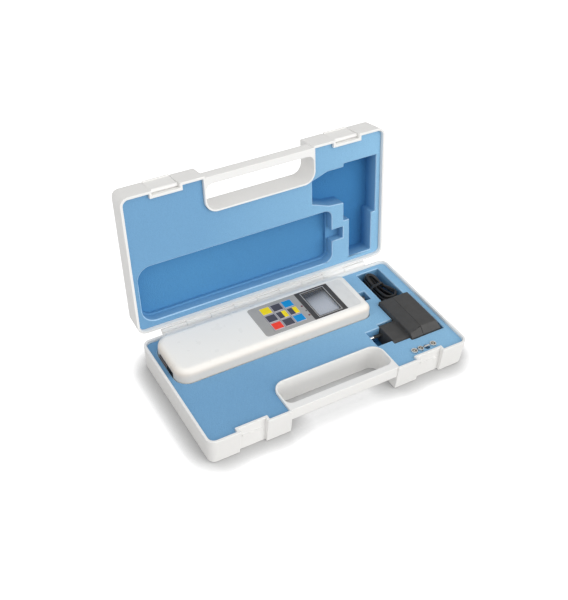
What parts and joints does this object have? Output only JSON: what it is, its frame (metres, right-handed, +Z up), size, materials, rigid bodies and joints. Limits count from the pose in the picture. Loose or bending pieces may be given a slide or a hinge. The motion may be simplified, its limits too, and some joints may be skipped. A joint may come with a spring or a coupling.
{
  "type": "force gauge",
  "caption": "Hand-held digital force gauge with keypad and display, in an open white foam-lined carrying case with its mains adapter, wound cord and screw-on tips.",
  "frame": {"origin": "centre of the flat underside of the case's base", "axes": "+X along the case to the adapter's end, +Y from the handle to the hinge, +Z up; the lid is drawn open at 98 degrees"},
  "size_m": [0.313, 0.2175, 0.196],
  "materials": {
    "case_plastic": "satin",
    "foam": "matte",
    "steel": "satin",
    "gauge_plastic": "satin",
    "dark_plastic": "matte",
    "battery_can": "satin",
    "board": "satin",
    "display": "satin",
    "lens": "gloss",
    "bezel": "satin",
    "panel": "satin",
    "label": "satin",
    "key_yellow": "satin",
    "key_grey": "satin",
    "key_blue": "satin",
    "key_red": "satin",
    "key_split": "satin",
    "aluminium": "satin",
    "socket_grey": "satin",
    "adapter_plastic": "satin",
    "winding": "satin",
    "cord": "satin"
  },
  "bodies": {
    "root": {"base_shell": "case_plastic", "base_foam": "foam", "hinge_pin": "steel"},
    "lid": {"lid_shell": "case_plastic", "lid_foam": "foam", "latch_pins": "steel"},
    "latch_left": {"latch_left": "case_plastic"},
    "latch_right": {"latch_right": "case_plastic"},
    "gauge": {"gauge_rear_shell": "gauge_plastic", "gauge_front_shell": "gauge_plastic", "housing_screws": "steel", "battery_hatch": "gauge_plastic", "battery_tray": "dark_plastic", "batteries": "battery_can", "main_board": "board", "board_screws": "steel", "key_switches": "dark_plastic", "display_module": "display", "display_lens": "lens", "display_bezel": "bezel", "keypad_panel": "panel", "end_label": "label", "load_cell": "aluminium", "load_cell_seat": "aluminium", "load_cell_screws": "steel", "shaft_bush": "steel", "socket_panel": "dark_plastic", "power_socket": "dark_plastic", "data_socket": "socket_grey"},
    "shaft": {"measuring_shaft": "steel"},
    "adapter": {"adapter_plug_shell": "adapter_plastic", "adapter_back_shell": "adapter_plastic", "mains_pins": "steel", "pin_sleeves": "adapter_plastic", "adapter_board": "board", "adapter_transformer": "winding", "strain_relief": "cord", "cord_tube": "cord", "cord_hank": "cord", "cord_tie": "cord", "dc_plug": "cord"},
    "key_back_centre": {"key_back_centre": "key_grey"},
    "key_back_left": {"key_back_left": "key_yellow"},
    "key_back_right": {"key_back_right": "key_blue"},
    "key_front_centre": {"key_front_centre": "key_grey"},
    "key_front_left": {"key_front_left": "key_red"},
    "key_front_right": {"key_front_right": "key_blue"},
    "key_middle_centre": {"key_middle_centre": "key_split"},
    "key_middle_left": {"key_middle_left": "key_grey"},
    "key_middle_right": {"key_middle_right": "key_split"},
    "tip_flat": {"tip_flat": "steel"},
    "tip_cone": {"tip_cone": "steel"},
    "tip_blade": {"tip_blade": "steel"},
    "tip_notch": {"tip_notch": "steel"}
  },
  "joints": [
    {"name": "lid_hinge", "type": "hinge", "parent": "root", "child": "lid", "pos_m": [0, 0.085, 0.03165], "axis": [1, 0, 0], "range_deg": [0, 98]},
    {"name": "latch_left_hinge", "type": "hinge", "parent": "lid", "child": "latch_left", "pos_m": [-0.107, 0.11378, 0.19221], "axis": [1, 0, 0], "range_deg": [0, 180]},
    {"name": "latch_right_hinge", "type": "hinge", "parent": "lid", "child": "latch_right", "pos_m": [0.107, 0.11378, 0.19221], "axis": [1, 0, 0], "range_deg": [0, 180]},
    {"name": "gauge_lift", "type": "slide", "parent": "root", "child": "gauge", "axis": [0, 0, -1], "range_m": [-0.06, 0]},
    {"name": "key_back_centre_press", "type": "slide", "parent": "gauge", "child": "key_back_centre", "axis": [0, 0, -1], "range_m": [0, 0.0005], "stiffness_N_per_m": 1500},
    {"name": "key_back_left_press", "type": "slide", "parent": "gauge", "child": "key_back_left", "axis": [0, 0, -1], "range_m": [0, 0.0005], "stiffness_N_per_m": 1500},
    {"name": "key_back_right_press", "type": "slide", "parent": "gauge", "child": "key_back_right", "axis": [0, 0, -1], "range_m": [0, 0.0005], "stiffness_N_per_m": 1500},
    {"name": "key_front_centre_press", "type": "slide", "parent": "gauge", "child": "key_front_centre", "axis": [0, 0, -1], "range_m": [0, 0.0005], "stiffness_N_per_m": 1500},
    {"name": "key_front_left_press", "type": "slide", "parent": "gauge", "child": "key_front_left", "axis": [0, 0, -1], "range_m": [0, 0.0005], "stiffness_N_per_m": 1500},
    {"name": "key_front_right_press", "type": "slide", "parent": "gauge", "child": "key_front_right", "axis": [0, 0, -1], "range_m": [0, 0.0005], "stiffness_N_per_m": 1500},
    {"name": "key_middle_centre_press", "type": "slide", "parent": "gauge", "child": "key_middle_centre", "axis": [0, 0, -1], "range_m": [0, 0.0005], "stiffness_N_per_m": 1500},
    {"name": "key_middle_left_press", "type": "slide", "parent": "gauge", "child": "key_middle_left", "axis": [0, 0, -1], "range_m": [0, 0.0005], "stiffness_N_per_m": 1500},
    {"name": "key_middle_right_press", "type": "slide", "parent": "gauge", "child": "key_middle_right", "axis": [0, 0, -1], "range_m": [0, 0.0005], "stiffness_N_per_m": 1500},
    {"name": "shaft_travel", "type": "slide", "parent": "gauge", "child": "shaft", "axis": [1, 0, 0], "range_m": [-0.0002, 0.0002], "stiffness_N_per_m": 20000},
    {"name": "adapter_lift", "type": "slide", "parent": "root", "child": "adapter", "axis": [0, 0, -1], "range_m": [-0.06, 0]},
    {"name": "tip_flat_lift", "type": "slide", "parent": "root", "child": "tip_flat", "axis": [0, 0, -1], "range_m": [-0.025, 0]},
    {"name": "tip_cone_lift", "type": "slide", "parent": "root", "child": "tip_cone", "axis": [0, 0, -1], "range_m": [-0.025, 0]},
    {"name": "tip_blade_lift", "type": "slide", "parent": "root", "child": "tip_blade", "axis": [0, 0, -1], "range_m": [-0.025, 0]},
    {"name": "tip_notch_lift", "type": "slide", "parent": "root", "child": "tip_notch", "axis": [0, 0, -1], "range_m": [-0.025, 0]}
  ]
}
